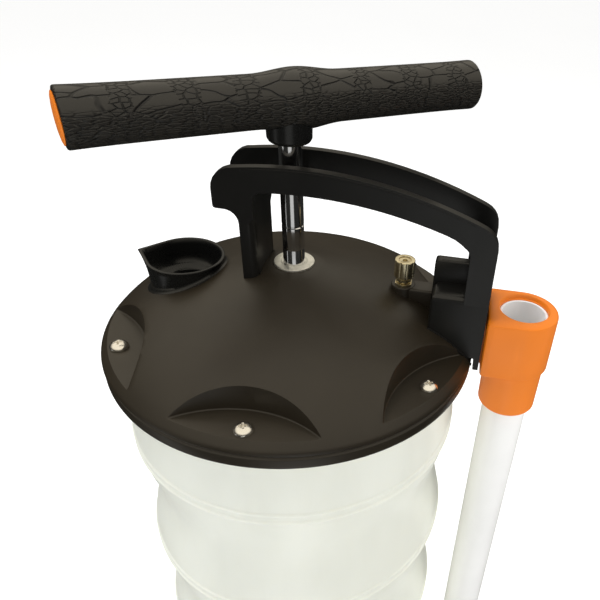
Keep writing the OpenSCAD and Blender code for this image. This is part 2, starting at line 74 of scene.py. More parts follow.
class ExtractorSizes(bpy.types.PropertyGroup):
    """Sizes that a user may want to change"""

    edge: bpy.props.FloatProperty(
        name="Moulded edge", description="Rounding on the edges of moulded pieces",
        default=0.9 * MM, min=0.2 * MM, max=2 * MM, subtype="DISTANCE", unit="LENGTH")
    pocket_fillet: bpy.props.FloatProperty(
        name="Pocket fillet", description="Rounding where a screw pocket's wall meets its floor",
        default=0.9 * MM, min=0.2 * MM, max=2 * MM, subtype="DISTANCE", unit="LENGTH")
    bead: bpy.props.FloatProperty(
        name="Tank bead", description="How far the tank's beads stand out",
        default=0.9 * MM, min=0.2 * MM, max=2 * MM, subtype="DISTANCE", unit="LENGTH")
    flutes: bpy.props.IntProperty(
        name="Knob flutes", description="Flutes round the release knob", default=10, min=6, max=16)
    segments: bpy.props.IntProperty(
        name="Segments", description="Segments round the large turned pieces",
        default=144, min=48, max=256)


class ExtractorColours(bpy.types.PropertyGroup):
    """Colours that a user may want to change"""

    lid: bpy.props.FloatVectorProperty(
        name="Lid", description="Colour of the lid's plastic", subtype="COLOR", size=3,
        default=(0.015, 0.011, 0.006), min=0, max=1)
    handle: bpy.props.FloatVectorProperty(
        name="Handles", description="Colour of the carrying handle's plastic", subtype="COLOR",
        size=3, default=(0.004, 0.004, 0.0035), min=0, max=1)
    orange: bpy.props.FloatVectorProperty(
        name="Holder", description="Colour of the tube holder and the end caps", subtype="COLOR",
        size=3, default=(0.82, 0.205, 0.008), min=0, max=1)
    tank: bpy.props.FloatVectorProperty(
        name="Tank", description="Colour of the tank's milky plastic", subtype="COLOR", size=3,
        default=(0.80, 0.81, 0.70), min=0, max=1)


class StudioSettings(bpy.types.PropertyGroup):
    """Camera and light"""

    lens: bpy.props.FloatProperty(
        name="Lens", description="Focal length on a 36 mm sensor", default=37.79, min=10, max=200)
    key: bpy.props.FloatProperty(
        name="Key light", description="Power of the large light over the object", default=9.0,
        min=0, unit="POWER")
    fill: bpy.props.FloatProperty(
        name="Fill light", description="Power of the light from the side", default=3.5, min=0,
        unit="POWER")
    sky: bpy.props.FloatProperty(
        name="Surroundings", description="Brightness of the pale surroundings", default=0.66,
        min=0, max=5)
    gloss: bpy.props.FloatProperty(
        name="Gloss", description="Brightness of the surroundings as glossy pieces mirror them",
        default=0.95, min=0, max=5)


# ---------------------------------------------------------------- shader helpers


class Wire:
    """A shader value, on which sums are written as Python expressions."""

    def __init__(self, finish, socket):
        self.finish = finish
        self.socket = socket

    def sum(self, operation, first, second, third=None, clamp=False):
        sockets = {0: first, 1: second}
        if third is not None:
            sockets[2] = third
        return self.finish.node(
            "ShaderNodeMath", {"operation": operation, "use_clamp": clamp}, sockets)

    def __add__(self, other):
        return self.sum("ADD", self, other)

    __radd__ = __add__

    def __sub__(self, other):
        return self.sum("SUBTRACT", self, other)

    def __rsub__(self, other):
        return self.sum("SUBTRACT", other, self)

    def __mul__(self, other):
        return self.sum("MULTIPLY", self, other)

    __rmul__ = __mul__

    def __truediv__(self, other):
        return self.sum("DIVIDE", self, other)

    def __pow__(self, other):
        return self.sum("POWER", self, other)

    def band(self, low, high):
        """0 below low, 1 above high, smooth between."""
        return self.finish.node(
            "ShaderNodeMapRange", {"interpolation_type": "SMOOTHSTEP"},
            {"Value": self, "From Min": low, "From Max": high})



class Finish:
    """One procedural material, or the nodes of the surroundings."""

    def __init__(self, name, surroundings=None):
        self.material = surroundings or bpy.data.materials.new(name)
        self.material.use_nodes = True
        self.tree = self.material.node_tree
        self.tree.nodes.clear()

    def node(self, kind, settings=None, sockets=None, output=0):
        made = self.tree.nodes.new(kind)
        for setting, value in (settings or {}).items():
            if setting == "stops":
                ramp = made.color_ramp
                while len(ramp.elements) < len(value):
                    ramp.elements.new(0.5)
                for element, (place, colour) in zip(ramp.elements, value):
                    element.position = place
                    element.color = (*colour, 1)
            else:
                setattr(made, setting, value)
        for socket, value in (sockets or {}).items():
            if isinstance(value, Wire):
                self.tree.links.new(value.socket, made.inputs[socket])
            else:
                made.inputs[socket].default_value = value
        return Wire(self, made.outputs[output]) if made.outputs else made

    def place(self, scale=(1, 1, 1), turn=(0, 0, 0), shift=(0, 0, 0)):
        """Object coordinates, moved, turned and stretched."""
        here = self.node("ShaderNodeTexCoord", output=3)
        return self.node("ShaderNodeMapping", None, {
            "Vector": here, "Scale": scale, "Rotation": turn, "Location": shift})

    def noise(self, where, scale, detail=3.0, roughness=0.5, distortion=0.0):
        return self.node("ShaderNodeTexNoise", None, {
            "Vector": where, "Scale": scale, "Detail": detail, "Roughness": roughness,
            "Distortion": distortion})

    def cells(self, where, scale, feature="DISTANCE_TO_EDGE", randomness=1.0, output=0):
        return self.node("ShaderNodeTexVoronoi", {"feature": feature}, {
            "Vector": where, "Scale": scale, "Randomness": randomness}, output)

    def split(self, where):
        """The three parts of a vector."""
        made = self.node("ShaderNodeSeparateXYZ", None, {0: where})
        outputs = made.socket.node.outputs
        return [Wire(self, outputs[i]) for i in range(3)]

    def mixed(self, factor, first, second):
        """A colour between two colours."""
        def full(colour):
            return colour if isinstance(colour, Wire) else (*colour[:3], 1)
        return self.node("ShaderNodeMix", {"data_type": "RGBA"}, {
            0: factor, 6: full(first), 7: full(second)}, 2)

    def bump(self, height, distance, strength=1.0, under=None):
        sockets = {"Height": height, "Distance": distance, "Strength": strength}
        if under is not None:
            sockets["Normal"] = under
        return self.node("ShaderNodeBump", None, sockets)

    def shade(self, **sockets):
        """Closes the material with a Principled shader."""
        named = {key.replace("_", " "): value for key, value in sockets.items()}
        shader = self.node("ShaderNodeBsdfPrincipled", None, named)
        self.node("ShaderNodeOutputMaterial", None, {"Surface": shader})
        return self.material


def shade_of(colour, factor):
    return tuple(min(1.0, part * factor) for part in colour)


def moulded(name, dark, pale, roughness=0.42, grain=0.05, specular=0.4, coat=0.0, mottle=9.0):
    """Moulded plastic: slow drift of colour, a fine eroded grain and handling marks."""
    f = Finish(name)
    here = f.place()
    drift = f.noise(here, mottle, 3, 0.55).band(0.35, 0.68)
    marks = f.noise(f.place(scale=(1, 1, 0.35)), 70, 4, 0.62)
    fine = f.noise(here, 1500, 2, 0.6)
    colour = f.mixed(drift, (*dark,), (*pale,))
    colour = f.mixed(marks.band(0.55, 0.8) * 0.22, colour, shade_of(pale, 1.3))
    dust = f.noise(here, 420, 2, 0.7).band(0.73, 0.79) * 0.12
    colour = f.mixed(dust, colour, shade_of(pale, 2.2))
    return f.shade(
        Base_Color=colour,
        Roughness=marks * 0.14 + fine * 0.06 + (roughness - 0.1),
        Specular_IOR_Level=specular,
        Coat_Weight=coat,
        Coat_Roughness=0.25,
        Normal=f.bump(fine + marks * 0.8, grain * MM, 0.55),
    )


def milky(name, colour):
    """Blow-moulded milky plastic: a painted glow for the light through it, faint run lines and
    cloudy thickness.
    """
    f = Finish(name)
    here = f.place()
    cloud = f.noise(f.place(scale=(1, 1, 0.45)), 16, 3, 0.5)
    runs = f.noise(f.place(scale=(1, 1, 0.06)), 120, 3, 0.5)
    fine = f.noise(here, 700, 2, 0.5)
    tone = f.mixed(cloud.band(0.3, 0.7), shade_of(colour, 0.95), shade_of(colour, 1.04))
    tone = f.mixed(runs.band(0.5, 0.75) * 0.12, tone, shade_of(colour, 0.88))
    return f.shade(
        Base_Color=tone,
        Roughness=cloud * 0.12 + 0.30,
        Specular_IOR_Level=0.45,
        Subsurface_Weight=0.55,
        Subsurface_Radius=(1.0, 0.92, 0.8),
        Subsurface_Scale=0.012,
        # Emission is a painted glow: the tank lights itself as if light came through it from
        # behind.
        Emission_Color=(*shade_of(colour, 1.0), 1),
        Emission_Strength=0.08,
        Coat_Weight=0.08,
        Coat_Roughness=0.2,
        Normal=f.bump(cloud + runs * 0.3 + fine * 0.05, 0.35 * MM, 0.6),
    )


def grained_rubber(name):
    """Black grip rubber moulded like a reptile's hide: long plates, cracks and bands of crumbs."""
    f = Finish(name)
    along, y, z = f.split(f.place(turn=(0, 0, -GRIP_TURN)))
    z = z - (LID + GRIP_AXIS) * MM
    around = y.sum("ARCTAN2", y, z) * (16.5 * MM)
    sway = f.noise(f.place(), 60, 2, 0.5)

    def laid(long, wide):
        """Coordinates unrolled round the grip, one unit to each plate."""
        return f.node("ShaderNodeCombineXYZ", None, {
            0: along / (long * MM) + sway * 0.5, 1: around / (wide * MM) + sway * 0.7})

    def flat_cells(where):
        return f.node("ShaderNodeTexVoronoi", {
            "feature": "DISTANCE_TO_EDGE", "voronoi_dimensions": "2D"}, {
            "Vector": where, "Scale": 1.0, "Randomness": 0.85})

    crack = flat_cells(laid(20, 9)).band(0.0, 0.07)
    small = flat_cells(laid(4.2, 3.0)).band(0.0, 0.16)
    ridge = flat_cells(laid(5.5, 1.7)).band(0.0, 0.22)
    beat = along.sum("SINE", along * (FULL_TURN / (27 * MM)), 0.0)
    zone = (beat + sway * 2.2).band(1.35, 1.6)
    under = (y * -1.0 - z * 0.7).band(6 * MM, 12 * MM)
    fine = f.noise(f.place(), 1300, 2, 0.6)
    hide = crack * (1 - zone) + small * zone * 0.8
    hide = hide * (1 - under * 0.6) + ridge * under * 0.6
    tone = f.mixed(hide, (0.003, 0.003, 0.003), (0.014, 0.0125, 0.010))
    return f.shade(
        Base_Color=tone,
        Roughness=0.42 - hide * 0.12 + fine * 0.08,
        Specular_IOR_Level=0.5,
        Normal=f.bump(hide + sway * 0.3 + fine * 0.04, 0.8 * MM, 0.85),
    )


def chromed(name, colour, roughness, rings=0.3):
    """Ground and plated steel: fine turning rings round the axis and faint wear."""
    f = Finish(name)
    here = f.place()
    ringed = f.noise(f.place(scale=(0.2, 0.2, 1)), 900, 2, 0.5)
    smear = f.noise(f.place(scale=(1, 1, 0.4)), 60, 3, 0.6)
    tone = f.mixed(smear.band(0.4, 0.7), shade_of(colour, 0.9), colour)
    return f.shade(
        Base_Color=tone,
        Metallic=1.0,
        Roughness=smear * 0.08 + ringed * 0.05 + roughness - 0.05,
        Normal=f.bump(ringed + f.noise(here, 300, 2, 0.5) * 0.2, 0.01 * MM * rings, 0.8),
    )


def turned_metal(name, colour, dull, roughness=0.3):
    """Machined metal: concentric tool marks, tarnish in patches."""
    f = Finish(name)
    _, _, z = f.split(f.place())
    marks = f.noise(f.place(scale=(0.3, 0.3, 1.6)), 1500, 2, 0.5)
    patch = f.noise(f.place(), 160, 3, 0.6)
    tone = f.mixed(patch.band(0.42, 0.7), colour, dull)
    return f.shade(
        Base_Color=tone,
        Metallic=1.0,
        Roughness=patch * 0.2 + marks * 0.1 + roughness - 0.12,
        Normal=f.bump(marks + z * 40, 0.02 * MM, 0.5),
    )


def smooth_rubber(name):
    """Moulded black rubber with a bloom."""
    f = Finish(name)
    here = f.place()
    bloom = f.noise(here, 90, 4, 0.6)
    fine = f.noise(here, 1400, 2, 0.6)
    tone = f.mixed(bloom.band(0.45, 0.75), (0.004, 0.004, 0.004), (0.010, 0.010, 0.009))
    return f.shade(
        Base_Color=tone,
        Roughness=bloom * 0.15 + 0.5,
        Specular_IOR_Level=0.35,
        Normal=f.bump(fine, 0.03 * MM, 0.5),
    )


FINISHES = {}


def finish_named(name):
    """Makes each finish once."""
    colours = bpy.context.scene.extractor_colours
    makers = {
        "lid": lambda: moulded(
            "lid_plastic", colours.lid, (0.021, 0.016, 0.009), 0.40, 0.05, 0.46, 0.0, 11.0),
        "handle": lambda: moulded(
            "handle_plastic", colours.handle, (0.007, 0.0065, 0.0055), 0.34, 0.05, 0.46),
        "spout": lambda: moulded(
            "spout_plastic", (0.004, 0.004, 0.004), (0.007, 0.007, 0.006), 0.28, 0.02, 0.4),
        "orange": lambda: moulded(
            "orange_plastic", shade_of(colours.orange, 0.94), shade_of(colours.orange, 1.08),
            0.40, 0.04, 0.42, 0.08),
        "tube": lambda: moulded(
            "tube_plastic", (0.86, 0.86, 0.85), (0.93, 0.93, 0.92), 0.34, 0.02, 0.45, 0.1),
        "cylinder": lambda: moulded(
            "cylinder_plastic", (0.66, 0.66, 0.63), (0.76, 0.76, 0.73), 0.30, 0.02, 0.5, 0.1),
        "milky": lambda: milky("milky_plastic", colours.tank),
        "grip": lambda: grained_rubber("grip_rubber"),
        "rubber": lambda: smooth_rubber("black_rubber"),
        "chrome": lambda: chromed("rod_chrome", (0.86, 0.86, 0.87), 0.10),
        "bush": lambda: turned_metal("bush_metal", (0.88, 0.88, 0.83), (0.74, 0.74, 0.70), 0.50),
        "screw": lambda: chromed("screw_steel", (0.95, 0.92, 0.86), 0.22, 0.4),
        "brass": lambda: turned_metal("brass", (0.80, 0.72, 0.50), (0.55, 0.46, 0.28), 0.26),
    }
    if name not in FINISHES:
        FINISHES[name] = makers[name]()
    return FINISHES[name]


# ---------------------------------------------------------------- modelling helpers


def start_clean():
    if bpy.context.mode != "OBJECT":
        bpy.ops.object.mode_set(mode="OBJECT")
    bpy.ops.object.select_all(action="DESELECT")


def edit():
    bpy.ops.object.mode_set(mode="EDIT")
    bpy.ops.mesh.select_mode(type="VERT")
    return bmesh.from_edit_mesh(bpy.context.object.data)


def select_where(test, kind="VERT"):
    """Selects, in edit mode, the vertices, edges or faces that pass the test."""
    bpy.ops.mesh.select_mode(type=kind)
    bpy.ops.mesh.select_all(action="DESELECT")
    mesh = bmesh.from_edit_mesh(bpy.context.object.data)
    parts = {"VERT": mesh.verts, "EDGE": mesh.edges, "FACE": mesh.faces}[kind]
    for part in parts:
        if test(part):
            part.select_set(True)
    mesh.select_flush(True)
    bmesh.update_edit_mesh(bpy.context.object.data)


def rounded(points, closed=True, steps=4):
    """An outline whose corners (across, up, radius) are rounded."""
    line = []
    count = len(points)
    for i, point in enumerate(points):
        radius = point[2] if len(point) > 2 else 0
        here = Vector(point[:2])
        if radius == 0 or (not closed and i in (0, count - 1)):
            line.append((here.x, here.y))
            continue
        back = Vector(points[i - 1][:2]) - here
        on = Vector(points[(i + 1) % count][:2]) - here
        half = back.angle(on) / 2
        reach = min(radius / math.tan(half), back.length * 0.49, on.length * 0.49)
        radius = reach * math.tan(half)
        back.normalize()
        on.normalize()
        centre = here + (back + on).normalized() * (radius / math.sin(half))
        first = here + back * reach - centre
        last = here + on * reach - centre
        angle = math.atan2(first.y, first.x)
        sweep = math.atan2(last.y, last.x) - angle
        sweep = (sweep + math.pi) % FULL_TURN - math.pi
        for k in range(steps + 1):
            at = angle + sweep * k / steps
            line.append((centre.x + radius * math.cos(at), centre.y + radius * math.sin(at)))
    return line


def name_piece(name):
    piece = bpy.context.object
    piece.name = name
    piece.data.name = name
    return piece


def tidy_mesh(angle=35):
    """Merges doubles, points the faces outwards and smooths all but the sharp edges."""
    bpy.ops.mesh.select_all(action="SELECT")
    bpy.ops.mesh.remove_doubles(threshold=1e-6)
    bpy.ops.mesh.normals_make_consistent(inside=False)
    bpy.ops.object.mode_set(mode="OBJECT")
    bpy.ops.object.shade_smooth_by_angle(angle=math.radians(angle))


def turned(name, outline, segments=96, centre=(0, 0), base=None, closed=True, angle=35):
    """Turns an outline of (radius, height) about an upright axis, ring after extruded ring."""
    base = LID if base is None else base
    start_clean()
    radius, height = outline[0]
    x, y = centre[0] * MM, centre[1] * MM
    bpy.ops.mesh.primitive_circle_add(
        vertices=segments, radius=radius * MM, fill_type="NOTHING",
        location=(x, y, (base + height) * MM))
    piece = name_piece(name)
    bpy.ops.object.transform_apply(location=True, rotation=False, scale=False)
    edit()
    bpy.ops.mesh.select_all(action="SELECT")
    for next_radius, next_height in outline[1:] + (outline[:1] if closed else []):
        bpy.ops.mesh.extrude_region_move(
            TRANSFORM_OT_translate={"value": (0, 0, (next_height - height) * MM)})
        grow = next_radius / radius
        if abs(grow - 1) > 1e-9:
            bpy.ops.transform.resize(
                value=(grow, grow, 1), center_override=(x, y, (base + next_height) * MM))
        radius, height = next_radius, next_height
    if not closed:
        bpy.ops.mesh.edge_face_add()
        low = (base + outline[0][1]) * MM
        reach = outline[0][0] * MM

        def on_first_ring(v):
            return abs(v.co.z - low) < 1e-7 and abs(
                math.hypot(v.co.x - x, v.co.y - y) - reach) < 1e-6
        select_where(on_first_ring)
        bpy.ops.mesh.edge_face_add()
    tidy_mesh(angle)
    return piece


def settle(points):
    """Moves the selected vertices, in their order round the ring, to the points given."""
    mesh = bmesh.from_edit_mesh(bpy.context.object.data)
    mesh.verts.ensure_lookup_table()
    chosen = [v.index for v in mesh.verts if v.select]
    for index, point in zip(chosen, points):
        bpy.ops.mesh.select_all(action="DESELECT")
        mesh = bmesh.from_edit_mesh(bpy.context.object.data)
        mesh.verts.ensure_lookup_table()
        mesh.verts[index].select_set(True)
        move = Vector(point) * MM - mesh.verts[index].co
        bpy.ops.transform.translate(value=move)
    mesh = bmesh.from_edit_mesh(bpy.context.object.data)
    mesh.verts.ensure_lookup_table()
    bpy.ops.mesh.select_all(action="DESELECT")
    for index in chosen:
        mesh.verts[index].select_set(True)
    mesh.select_flush(True)
    bmesh.update_edit_mesh(bpy.context.object.data)


def lofted(name, rings, angle=35):
    """Joins rings of equally many points, one extruded ring after another, back to the first."""
    start_clean()
    count = len(rings[0])
    bpy.ops.mesh.primitive_circle_add(vertices=count, radius=MM, fill_type="NOTHING")
    piece = name_piece(name)
    edit()
    bpy.ops.mesh.select_all(action="SELECT")
    settle(rings[0])
    for ring in rings[1:] + rings[:1]:
        bpy.ops.mesh.extrude_region_move(TRANSFORM_OT_translate={"value": (0, 0, 0)})
        settle(ring)
    tidy_mesh(angle)
    return piece


def plate(name, pairs, low, high, angle=35):
    """A plate drawn in the XZ plane at Y = low, edge pair after edge pair, left flat for
    thicken().
    """
    start_clean()
    bpy.ops.mesh.primitive_plane_add(size=MM, rotation=(math.pi / 2, 0, 0))
    piece = name_piece(name)
    bpy.ops.object.transform_apply(location=False, rotation=True, scale=False)
    edit()
    mesh = bmesh.from_edit_mesh(piece.data)
    mesh.verts.ensure_lookup_table()
    corners = sorted(range(4), key=lambda i: (mesh.verts[i].co.x, mesh.verts[i].co.z))

    def point(flat):
        return (flat[0], low, LID + flat[1])
    for index, flat in zip(corners, (*pairs[0], *pairs[1])):
        select_where(lambda v, i=index: v.index == i)
        settle([point(flat)])
    select_where(lambda v: v.index in corners[2:])
    for bottom, top in pairs[2:]:
        bpy.ops.mesh.extrude_region_move(TRANSFORM_OT_translate={"value": (0, 0, 0)})
        mesh = bmesh.from_edit_mesh(piece.data)
        ends = [v for v in mesh.verts if v.select]
        last_bottom = Vector(point(pairs[pairs.index((bottom, top)) - 1][0])) * MM
        first_is_bottom = (ends[0].co - last_bottom).length < 1e-7
        settle([point(bottom), point(top)] if first_is_bottom else [point(top), point(bottom)])
    return piece


def thicken(amount):
    """Gives a drawn sheet its thickness along Y."""
    bpy.ops.mesh.select_mode(type="FACE")
    bpy.ops.mesh.select_all(action="SELECT")
    bpy.ops.mesh.extrude_region_move(TRANSFORM_OT_translate={"value": (0, amount * MM, 0)})


def block(name, low, high):
    """A box between two corners, left in edit mode to be shaped further."""
    start_clean()
    middle = [(a + b) / 2 * MM for a, b in zip(low, high)]
    bpy.ops.mesh.primitive_cube_add(
        size=1, location=middle, scale=[(b - a) * MM for a, b in zip(low, high)])
    piece = name_piece(name)
    bpy.ops.object.transform_apply(location=True, rotation=False, scale=True)
    edit()
    return piece


def round_edges(test, radius, segments=4):
    """Bevels the edges whose middle point, in millimetres over the skirt, passes the test."""
    def chosen(edge):
        middle = (edge.verts[0].co + edge.verts[1].co) / 2 / MM
        along = (edge.verts[1].co - edge.verts[0].co).normalized()
        return test(Vector((middle.x, middle.y, middle.z - LID)), along)
    select_where(chosen, "EDGE")
    bpy.ops.mesh.bevel(offset=radius * MM, segments=segments, profile=0.5, affect="EDGES")


def use_modifier(piece, kind, **settings):
    """Adds a modifier and applies it."""
    start_clean()
    bpy.context.view_layer.objects.active = piece
    piece.select_set(True)
    bpy.ops.object.modifier_add(type=kind)
    modifier = piece.modifiers[-1]
    for setting, value in settings.items():
        setattr(modifier, setting, value)
    bpy.ops.object.modifier_apply(modifier=modifier.name)
    return piece


def soften(piece, radius, segments=3, limit=32, angle=35):
    """Rounds every sharp edge of a finished shape."""
    use_modifier(
        piece, "BEVEL", width=radius, segments=segments, limit_method="ANGLE",
        angle_limit=math.radians(limit), harden_normals=False, use_clamp_overlap=True)
    piece.select_set(True)
    bpy.ops.object.shade_smooth_by_angle(angle=math.radians(angle))
    return piece


def cut(piece, *cutters):
    """Cuts other shapes out of a piece and removes them."""
    for cutter in cutters:
        use_modifier(piece, "BOOLEAN", operation="DIFFERENCE", solver="EXACT", object=cutter)
        bpy.data.objects.remove(cutter)
    return piece


def join(name, *pieces):
    start_clean()
    for piece in pieces:
        piece.select_set(True)
    bpy.context.view_layer.objects.active = pieces[0]
    bpy.ops.object.join()
    return name_piece(name)


def turn_piece(piece, axis, angle, centre=(0, 0, 0)):
    """Turns a piece's mesh about a point given in metres."""
    there = Matrix.Translation(Vector(centre))
    piece.data.transform(there @ Matrix.Rotation(angle, 4, axis) @ there.inverted())
    return piece


def copies_round(piece, count, radius, first):
    """Copies a piece modelled on the axis to places round it, each with its own mesh."""
    made = []
    for k in range(count):
        start_clean()
        bpy.context.view_layer.objects.active = piece
        piece.select_set(True)
        bpy.ops.object.duplicate(linked=False)
        angle = math.radians(first + 360 * k / count)
        bpy.ops.transform.translate(
            value=(radius * MM * math.cos(angle), radius * MM * math.sin(angle), 0))
        bpy.ops.object.transform_apply(location=True, rotation=False, scale=False)
        made.append(bpy.context.object)
    bpy.data.objects.remove(piece)
    return made


def hand_over(piece, body, slot, finish, *nodes):
    """Gives a finished piece its material and its body, and hides the CAD nodes that it stands
    for.
    """
    start_clean()
    piece.data.materials.clear()
    piece.data.materials.append(finish_named(finish))
    if nodes:
        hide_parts(*nodes)
    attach(piece, body)
    return piece


# ---------------------------------------------------------------- shapes shared by pieces


def dome(radius):
    """Height of the lid's upper surface over the skirt."""
    share = max(0.0, (radius - 13) / (RIM_R - 13))
    return 55 - (55 - RIM_H) * (0.65 * share + 0.35 * share ** 5.8)


def rail_top(x):
    return 114.2 - 0.00235 * (x - 11) ** 2


def arc(cx, cz, radius, start, end, steps=6):
    return [
        (cx + radius * math.cos(math.radians(start + (end - start) * k / steps)),
         cz + radius * math.sin(math.radians(start + (end - start) * k / steps)))
        for k in range(steps + 1)
    ]


class BuildPiece:
    """What the operators share."""

    bl_options = {"REGISTER", "UNDO"}

    def execute(self, context):
        self.build(context.scene.extractor_sizes)
        return {"FINISHED"}


# ---------------------------------------------------------------- pieces


class EXTRACTOR_OT_tank(BuildPiece, bpy.types.Operator):
    """Blow-moulded tank with three pairs of beads, as a closed shell"""

    bl_idname = "extractor.tank"
    bl_label = "Tank"

    def build(self, sizes):
        tank_h = LID
        crest, pitch, wall = tank_h - 41, 87, 2.5
        bead = sizes.bead / MM

        def band(z):
            swell = (1 + math.cos(FULL_TURN * (z - crest) / pitch)) / 2
            fall = 3.5 if z > crest else 7
            return 96.5 - fall * (1 - swell)

        def raised(z):
            up = 0
            for k in range(3):
                for side in (-1, 1):
                    far = abs(z - (crest - k * pitch + side * 3.1)) / 1.5
                    if far < 1:
                        up += bead * (1 + math.cos(math.pi * far)) / 2
            return up

        heights = []
        z = 12.0
        while z < tank_h - 2.5:
            heights.append(z)
            near = min(abs(z - (crest - k * pitch + s * 3.1)) for k in range(3) for s in (-1, 1))
            z += 0.5 if near < 2.4 else 2.5
        outer = [(0.5, 2.5), (29, 2.5), (31, 0.3), (33, 0)]
        base_r = band(12)
        outer += [(x, y) for x, y in arc(base_r - 12, 12, 12, -90, 0, 8)][:-1]
        outer += [(band(z) + raised(z), z) for z in heights]
        top = band(heights[-1])
        outer += rounded(
            [(top, tank_h - 2), (92.9, tank_h + 3.4, 0.8), (97.7, tank_h + 3.5, 0.8),
             (97.7, tank_h + 8.3, 0.6), (86.2, tank_h + 8.3, 0.8), (86.2, tank_h - 4)],
            closed=False)
        inner = [(band(z) - wall, z) for z in reversed(heights[::3])]
        inner += [(x - wall, y + wall) for x, y in reversed(arc(base_r - 12, 12, 12, -90, 0, 6))]
        inner += [(33, 2.6), (0.5, 5.0)]
        outline = outer + inner
        tank = turned("milky_tank", outline, sizes.segments, base=0, angle=50)
        hand_over(tank, "tank_and_lid", "milky_plastic", "milky", "tank")


class EXTRACTOR_OT_lid(BuildPiece, bpy.types.Operator):
    """Domed lid with its six screw pockets, rim, groove and skirt"""

    bl_idname = "extractor.lid"
    bl_label = "Lid"

    def build(self, sizes):
        top = [(r, dome(r)) for r in [9.6, 13] + [13 + 83 * k / 18 for k in range(1, 19)]]
        top += [(r, dome(r)) for r in (98, 99.8, 101.2, 102.2, 102.9)]
        rim = rounded(
            [(103.35, RIM_H - 0.15), (103.55, 13.3, 0.6), (102.9, 12.4, 0.4), (101.8, 11.9, 0.3),
             (101.8, 11.0, 0.3), (103.0, 10.2, 0.5), (103.25, 6.2), (102.9, 4.3, 0.7),
             (98.3, 4.25, 0.3), (98.3, 9.9), (84.1, 9.9), (84.1, 13.2), (76, 15.4)],
            closed=False, steps=3)
        under = [(r, dome(r) - 3.2) for r in (75, 66, 56, 44, 30, 18, 9.6)]
        lid = turned("domed_lid", top + rim + under, sizes.segments, angle=40)
        fillet = sizes.pocket_fillet / MM
        cutter = turned(
            "pocket_cutter",
            rounded([(1, 18.8), (58.5, 18.8, fillet), (59.6, 50, 0), (1, 50)], False, 4),
            160, closed=False)
        cutters = copies_round(cutter, 6, 138.5, 30)
        throat = turned("throat_cutter", [(14.7, 5), (14.7, 60)], 64, (SPOUT_X, 0),
                        closed=False)
        bowl = turned("bowl_cutter", [(19.8, 32), (19.8, 70)], 64, (SPOUT_X, 0), closed=False)
        stem = turned("stem_cutter", [(3.6, 20), (3.6, 60)], 32, (59.5, 8), closed=False)
        cut(lid, *cutters, throat, bowl, stem)
        soften(lid, 0.55 * MM, 2, 38, 42)
        valve_seat = turned(
            "valve_seat",
            rounded([(3.6, 34), (7.6, 34), (6.8, 46.0, 0.9), (3.6, 46.0)], True, 4),
            48, (59.5, 8))
        pad = block("valve_pad", (62.0, 2.2, LID + 34), (80, 13.8, LID + 45.6))
        round_edges(lambda m, along: m.z > 45 and abs(along.x) > 0.9, 1.6)
        tidy_mesh()
        bush_seat = turned(
            "bush_seat",
            rounded([(9.7, 40), (11.6, 40), (11.6, 55.05, 0.3), (9.7, 55.05)], True, 3),
            64)
        lid = join("domed_lid", lid, valve_seat, pad, bush_seat)
        hand_over(lid, "tank_and_lid", "lid_plastic", "lid", "lid")


class EXTRACTOR_OT_lid_screws(BuildPiece, bpy.types.Operator):
    """Six bright pan-head screws with cross recesses"""

    bl_idname = "extractor.lid_screws"
    bl_label = "Lid screws"

    def build(self, sizes):
        head = [(0.3, 3.45), (1.6, 3.35), (3.0, 2.85), (4.1, 2.0), (4.65, 1.2), (4.8, 0.6),
                (4.7, 0.05), (2.4, 0.05), (2.4, -13.7), (1.7, -14.4), (0.3, -14.4)]
        screw = turned("lid_screw", [(r, z + POCKET_FLOOR) for r, z in head], 40, closed=False)
        arms = []
        for turn in (20, 110):
            arm = block("arm", (-2.9, -0.62, LID + 20.4), (2.9, 0.62, LID + 24))
            select_where(lambda v: v.co.z / MM < LID + 21)
            bpy.ops.transform.resize(value=(0.45, 0.6, 1), center_override=(0, 0, 0))
            tidy_mesh()
            arms.append(turn_piece(arm, "Z", math.radians(turn)))
        cut(screw, *arms)
        soften(screw, 0.12 * MM, 2, 40)
        screws = copies_round(screw, SCREW_COUNT, SCREW_CIRCLE, 30)
        hand_over(join("lid_screw_set", *screws), "tank_and_lid", "screw_steel", "screw",
                  "lid_screws")


